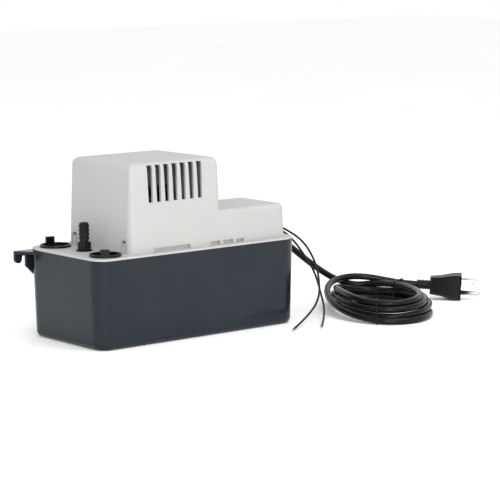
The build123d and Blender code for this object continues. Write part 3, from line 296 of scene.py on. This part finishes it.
WINDING_OUT = 0.8  # added to every offset


def winding_point(turned, outward, height):
    angle = math.radians(turned)
    spoke = COIL_A * math.cos(angle) + COIL_B * math.sin(angle)
    place = COIL_CENTRE + spoke * (1.0 + (outward + WINDING_OUT) / spoke.length)
    return (place.x, place.y, height)


def winding_points():
    points = []
    row = iter(zip(WINDING, WINDING[1:]))
    (start, end) = next(row)
    for turned in range(WINDING[0][0], WINDING[-1][0] + 1, WINDING_STEP):
        while turned > end[0]:
            (start, end) = next(row)
        share = (turned - start[0]) / (end[0] - start[0])
        points.append(
            winding_point(
                turned,
                start[1] + share * (end[1] - start[1]),
                start[2] + share * (end[2] - start[2]),
            )
        )
    return points


LEAD = [
    (138.75, 21.5, 93.36), (150.0, 21.6, 88.1), (171.0, 21.9, 74.8), (194.0, 20.6, 56.5),
    (215.2, 17.1, 39.9), (231.2, 14.8, 29.2), (246.0, 13.6, 21.6),
]
TAIL = [(276.5, -5.2, 23.9), (289.54, -17.87, 20.4), (301.6, -29.77, 17.6), (313.0, -41.0, 16.5)]
WIRE_D = 2.3
WIRES = [
    [
        (118.1, -4.0, 98.5), (134.0, -4.0, 98.5), (158.0, -5.3, 87.4), (177.0, -9.5, 74.0),
        (184.5, -19.0, 54.0), (177.5, -34.0, 38.0), (160.0, -55.0, 20.0), (124.0, -79.0, 8.6),
        (88.5, -98.0, 2.4),
    ],
    [
        (118.1, 2.0, 98.5), (133.0, 2.0, 98.5), (155.0, 4.3, 88.2), (171.5, 3.0, 76.5),
        (182.5, -4.5, 58.0), (187.0, -16.0, 40.5), (178.5, -34.0, 24.5), (162.0, -60.0, 12.0),
        (138.0, -87.0, 4.4), (120.0, -104.5, 2.1),
    ],
]

power_cord = cord_curve("power_cord", LEAD + winding_points() + TAIL, CORD_D)
finish_piece(power_cord, "cord_jacket")
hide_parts("power_cord_lead", "power_cord_coil", "power_cord_tail")


def centreline(curve_object):
    """Points read from a cord's own spline."""
    bare = curve_object.data.copy()
    bare.bevel_depth = 0.0
    holder = bpy.data.objects.new("line", bare)
    mesh = bpy.data.meshes.new_from_object(holder)
    line = [v.co.copy() for v in mesh.vertices]
    bpy.data.objects.remove(holder)
    bpy.data.curves.remove(bare)
    bpy.data.meshes.remove(mesh)
    return line


# ---------------------------------------------------------------- mesh helpers
BEVEL_ANGLE = 30.0  # degrees: flatter edges are left alone


def mesh_object(name, bm, smooth=True, bevel=0.0, segments=3):
    bmesh.ops.recalc_face_normals(bm, faces=bm.faces[:])
    data = bpy.data.meshes.new(name)
    bm.to_mesh(data)
    bm.free()
    piece = bpy.data.objects.new(name, data)
    bpy.context.collection.objects.link(piece)
    if smooth:
        for face in data.polygons:
            face.use_smooth = True
    if bevel:
        mod = piece.modifiers.new("edges", "BEVEL")
        mod.width = bevel * MM
        mod.segments = segments
        mod.limit_method = "ANGLE"
        mod.angle_limit = math.radians(BEVEL_ANGLE)
        mod.harden_normals = True
    return piece


def hull(points):
    """The convex outline of flat points, anticlockwise."""
    row = sorted(points)
    lower, upper = [], []
    for chain, source in ((lower, row), (upper, row[::-1])):
        for p in source:
            while len(chain) > 1 and (chain[-1][0] - chain[-2][0]) * (p[1] - chain[-2][1]) <= (
                chain[-1][1] - chain[-2][1]
            ) * (p[0] - chain[-2][0]):
                chain.pop()
            chain.append(p)
    return lower[:-1] + upper[:-1]


def loft_loops(bm, loops):
    """A closed skin over a row of loops with as many points each. Returns their vertices."""
    rows = [[bm.verts.new(p) for p in loop] for loop in loops]
    count = len(rows[0])
    for a, b in zip(rows, rows[1:]):
        for i in range(count):
            j = (i + 1) % count
            bm.faces.new((a[i], a[j], b[j], b[i]))
    bm.faces.new(rows[0][::-1])
    bm.faces.new(rows[-1])
    return rows


# ---------------------------------------------------------------- ties round the coil
TIE_ANGLES = (50.0, 206.0)
TIE_WIRE_D = 1.5
TIE_CLEARANCE = 0.05  # between the cord and the tie
TIE_SEARCH = 16.0  # how far from the coil's middle line a strand may lie
TIE_SIDES = 24  # points round each strand


def strand_marks(line, middle, outward):
    """Where the cord crosses the plane of a tie: (distance outwards, height) of each strand."""
    across = Vector((-outward.y, outward.x, 0))
    marks = []
    for a, b in zip(line, line[1:]):
        before, after = (a - middle).dot(across), (b - middle).dot(across)
        if before * after <= 0 and before != after:
            at = a.lerp(b, before / (before - after))
            if abs((at - middle).dot(outward)) < TIE_SEARCH * MM:
                marks.append(((at - middle).dot(outward), at.z))
    return marks


def coil_tie(name, line, turned):
    """A wire pulled tight round all the strands at one place of the coil."""
    angle = math.radians(turned)
    spoke = COIL_A * math.cos(angle) + COIL_B * math.sin(angle)
    outward = Vector((spoke.x, spoke.y, 0)).normalized()
    middle = Vector((*(COIL_CENTRE + spoke), 0)) * MM
    reach = (CORD_D / 2 + TIE_WIRE_D / 2 + TIE_CLEARANCE) * MM
    rim = [
        (x + reach * math.cos(t), max(z + reach * math.sin(t), TIE_WIRE_D * MM / 2))
        for x, z in strand_marks(line, middle, outward)
        for t in [2 * math.pi * k / TIE_SIDES for k in range(TIE_SIDES)]
    ]
    loop = [middle + outward * x + Vector((0, 0, z)) for x, z in hull(rim)]
    data = bpy.data.curves.new(name, "CURVE")
    data.dimensions = "3D"
    spline = data.splines.new("POLY")
    spline.points.add(len(loop) - 1)
    for point, place in zip(spline.points, loop):
        point.co = (*place, 1.0)
    spline.use_cyclic_u = True
    data.bevel_depth = TIE_WIRE_D * MM / 2
    data.bevel_resolution = 3
    tie = bpy.data.objects.new(name, data)
    bpy.context.collection.objects.link(tie)
    return tie


cord_line = centreline(power_cord)
for number, turned in enumerate(TIE_ANGLES, start=1):
    tie = coil_tie(f"tie_{number}", cord_line, turned)
    finish_piece(tie, "black_plastic")
    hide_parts(f"cord_tie_{number}")

# ---------------------------------------------------------------- plug
PLUG_START = Vector(TAIL[-1]) * MM
PLUG_HEADING = math.radians(-44.6)
PLUG_TILT = math.radians(3.1)
heading_x, heading_y = math.cos(PLUG_HEADING), math.sin(PLUG_HEADING)
tilt_cos, tilt_sin = math.cos(PLUG_TILT), math.sin(PLUG_TILT)
plug_along = Vector((heading_x * tilt_cos, heading_y * tilt_cos, -tilt_sin))
plug_up = Vector((heading_x * tilt_sin, heading_y * tilt_sin, tilt_cos))
plug_side = plug_along.cross(plug_up)


def on_plug(along, height, side):
    """A point by its distance from the cord's end, and its offsets upwards and to the side, in mm."""
    return PLUG_START + (plug_along * along + plug_up * height + plug_side * side) * MM


RELIEF_LENGTH = 14.0
BODY_LENGTH = 34.0
FACE_AT = RELIEF_LENGTH + BODY_LENGTH
# the body's sections: distance from the relief, half height, half width
PLUG_SECTIONS = [(0.0, 9.2, 7.4), (12.0, 10.4, 8.8), (24.5, 13.1, 11.4), (BODY_LENGTH, 13.7, 12.0)]
PLUG_CORNERS = [(-1, -1), (1, -1), (1, 1), (-1, 1)]
PLUG_SIDES = (0, 2)  # a side runs from this corner to the next
RIM = 2.0
PANEL_DEPTH = 1.3


def plug_body():
    """The plug's body, with a sunk panel on each side inside a raised rim."""
    bm = bmesh.new()
    rows = loft_loops(
        bm,
        [
            [on_plug(RELIEF_LENGTH + along, a * half_high, b * half_wide) for a, b in PLUG_CORNERS]
            for along, half_high, half_wide in PLUG_SECTIONS
        ],
    )
    for corner in PLUG_SIDES:
        edges = [[row[corner] for row in rows], [row[corner + 1] for row in rows]]
        faces = [
            f
            for f in bm.faces
            if len(f.verts) == 4 and all(sum(v in edge for v in f.verts) == 2 for edge in edges)
        ]
        bmesh.ops.inset_region(bm, faces=faces, thickness=RIM * MM, depth=-PANEL_DEPTH * MM)
    return mesh_object("plug_body", bm, bevel=0.7)


power_plug = plug_body()
finish_piece(power_plug, "black_rubber")
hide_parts("power_plug")


def turned_loops(outline, height, sides):
    """Circles about a line along the plug, at a height above its axis: (distance along, radius) pairs."""
    turns = [2 * math.pi * k / sides for k in range(sides)]
    return [
        [on_plug(along, height + r * math.cos(t), r * math.sin(t)) for t in turns] for along, r in outline
    ]


RELIEF_SIDES = 32
RELIEF_RIBS = 5
RELIEF_PITCH = 2.85
RIB_R = (5.3, 5.4)  # at its start and its end
GROOVE_R = 4.6


def relief_outline():
    outline = [(-0.6, 3.7), (0.0, 4.5)]
    for rib in range(RELIEF_RIBS):
        start = 0.2 + rib * RELIEF_PITCH
        outline += [(start, RIB_R[0]), (start + 1.6, RIB_R[1])]
        outline += [(start + 1.75, GROOVE_R), (start + 2.7, GROOVE_R)]
    return outline + [(RELIEF_LENGTH + 0.5, RIB_R[1])]


bm = bmesh.new()
loft_loops(bm, turned_loops(relief_outline(), 0.0, RELIEF_SIDES))
plug_relief = mesh_object("plug_relief", bm, smooth=False)
finish_piece(plug_relief, "black_rubber")
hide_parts("plug_strain_relief")

# two ribs like an arrow on each side, for the fingers: distance along, height and width of each end,
# and the corners of its section about that place
GRIP_BACK, GRIP_FRONT = (2.5, 1.2, 7.9), (14.0, 5.0, 9.2)
GRIP_BACK_CORNERS = [(-1.1, -1.6), (1.1, -1.6), (0.5, 0.1), (-0.5, 0.1)]
GRIP_FRONT_CORNERS = [(-0.8, -1.8), (0.8, -1.8), (0.3, -0.5), (-0.3, -0.5)]


def grip_section(place, corners, turn, side):
    along, height, width = place
    return [
        on_plug(RELIEF_LENGTH + along, turn * height + dh, side * (width + dw)) for dh, dw in corners
    ]


for number, side in enumerate((-1, 1), start=1):
    bm = bmesh.new()
    for turn in (-1, 1):
        back = grip_section(GRIP_BACK, GRIP_BACK_CORNERS, turn, side)
        front = grip_section(GRIP_FRONT, GRIP_FRONT_CORNERS, turn, side)
        loft_loops(bm, [back, front])
    grip = mesh_object(f"plug_grip_{number}", bm, bevel=0.3, segments=2)
    finish_piece(grip, "black_rubber")

# the ground pin: sheet rolled into a U with a closed round nose
BLADE_RISE = 5.5
GROUND_DROP = 11.9
PIN_R = 2.4
PIN_WALL = 0.75
PIN_LENGTH = 21.0
PIN_SEAM = 40.0  # degrees from straight down to each edge of the open seam
PIN_STEPS = 16
# distance from the plug's face, and share of the full radius
PIN_TAPER = [(-0.5, 1.0), (PIN_LENGTH - 3.2, 1.0), (PIN_LENGTH - 2.2, 0.98), (PIN_LENGTH - 1.2, 0.88)]
NOSE_SIDES = 24
NOSE_STEPS = 6
NOSE_START, NOSE_SWEEP = -30.0, 110.0  # degrees up the round end
NOSE_SHARE = 0.97  # of the pin's radius
pin_height = BLADE_RISE - GROUND_DROP


def pin_section(along, grow):
    outer, inner = [], []
    for k in range(PIN_STEPS + 1):
        t = math.radians(PIN_SEAM + (360 - 2 * PIN_SEAM) * k / PIN_STEPS)
        outer.append((PIN_R * grow * math.sin(t), -PIN_R * grow * math.cos(t)))
        inner.append(((PIN_R * grow - PIN_WALL) * math.sin(t), -(PIN_R * grow - PIN_WALL) * math.cos(t)))
    return [on_plug(FACE_AT + along, pin_height + h, w) for h, w in outer + inner[::-1]]


def nose_outline():
    for k in range(NOSE_STEPS + 1):
        t = math.radians(NOSE_START + NOSE_SWEEP * k / NOSE_STEPS)
        along = PIN_LENGTH - PIN_R + PIN_R * math.sin(t)
        yield FACE_AT + along, PIN_R * NOSE_SHARE * math.cos(t)


bm = bmesh.new()
loft_loops(bm, [pin_section(along, grow) for along, grow in PIN_TAPER])
loft_loops(bm, turned_loops(nose_outline(), pin_height, NOSE_SIDES))
ground_pin = mesh_object("ground_pin", bm)
finish_piece(ground_pin, "nickel_brass")
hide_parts("plug_ground_pin")

WIRE_LENGTHS = (0.229, 0.223)
for number, (route, length) in enumerate(zip(WIRES, WIRE_LENGTHS), start=1):
    wire = cord_curve(f"switch_wire_{number}", route, WIRE_D)
    finish_piece(wire, "cord_jacket")
    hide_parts(f"switch_lead_{number}")

# ---------------------------------------------------------------- floor and light
FLOOR_HALF = 6.0
bm = bmesh.new()
bmesh.ops.create_grid(bm, x_segments=1, y_segments=1, size=FLOOR_HALF)
floor = mesh_object("floor", bm, smooth=False)
paper = Nodes("floor_paper")
paper.tint(paper.noise(3.0), [(NOISE_LOW, (0.945, 0.945, 0.945)), (NOISE_HIGH, (0.97, 0.97, 0.97))])
paper.set(Roughness=0.9)
floor.data.materials.append(paper.material)

world = bpy.data.worlds.new("studio")
world.use_nodes = True
world.node_tree.nodes["Background"].inputs["Color"].default_value = (1.0, 1.0, 1.0, 1.0)
world.node_tree.nodes["Background"].inputs["Strength"].default_value = 1.0
bpy.context.scene.world = world
bpy.context.scene.view_settings.view_transform = "Standard"


def soft_light(name, place, aim, size, power):
    data = bpy.data.lights.new(name, "AREA")
    data.shape = "RECTANGLE"
    data.size, data.size_y = size
    data.energy = power
    light = bpy.data.objects.new(name, data)
    bpy.context.collection.objects.link(light)
    light.location = place
    light.rotation_mode = "QUATERNION"
    light.rotation_quaternion = (Vector(aim) - Vector(place)).to_track_quat("-Z", "Y")


soft_light("key", (-1.25, -1.75, 0.55), (0.0, 0.0, 0.1), (1.1, 0.8), 26.0)
soft_light("top", (0.3, -0.5, 2.1), (0.1, -0.05, 0.0), (1.8, 0.5), 7.0)
soft_light("strip", (0.25, -1.15, 1.5), (0.2, -0.1, 0.0), (1.3, 0.05), 8.0)
soft_light("fill", (1.5, -1.9, 0.6), (0.1, 0.0, 0.08), (1.0, 0.8), 3.0)
